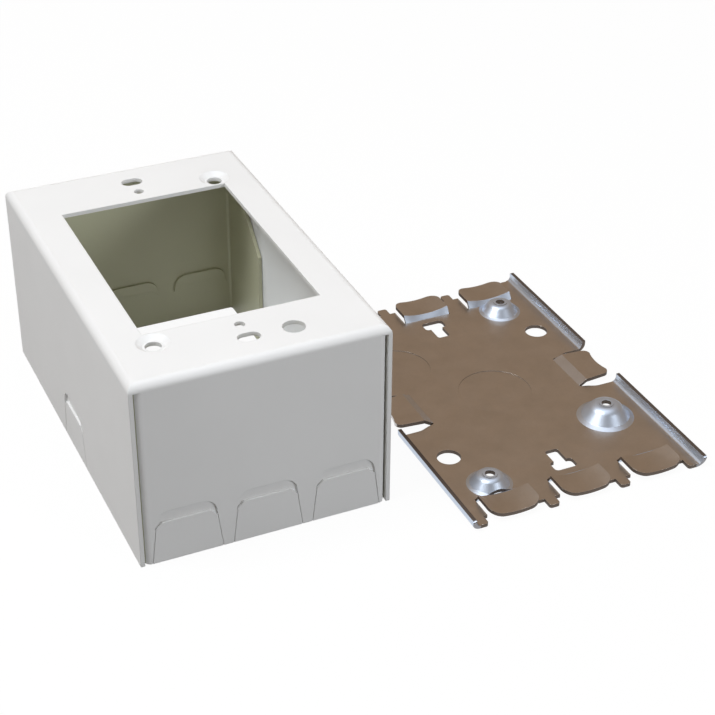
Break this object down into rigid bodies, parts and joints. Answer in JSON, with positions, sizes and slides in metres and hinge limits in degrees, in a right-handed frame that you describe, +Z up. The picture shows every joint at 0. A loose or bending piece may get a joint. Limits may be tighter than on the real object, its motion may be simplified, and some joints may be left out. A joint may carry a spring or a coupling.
{
  "type": "shallow device box",
  "caption": "Folded sheet-steel device cover with a rectangular window and an open back, lying beside its stamped base plate with side lips, raised tongues and tapped domes.",
  "frame": {"origin": "middle of the footprint of the two pieces as they lie, on the floor", "axes": "+Z up out of the floor and out of the cover's window; +Y along the length of both pieces, away from the viewer; +X across, from the cover to the base plate"},
  "size_m": [0.1632, 0.14, 0.0571],
  "materials": {
    "cover_paint": "smooth, semi-gloss, off-white paint",
    "plate_zinc": "galvanised sheet, satin"
  },
  "bodies": {
    "root": {"box_cover": "cover_paint", "base_plate": "plate_zinc"}
  },
  "joints": []
}
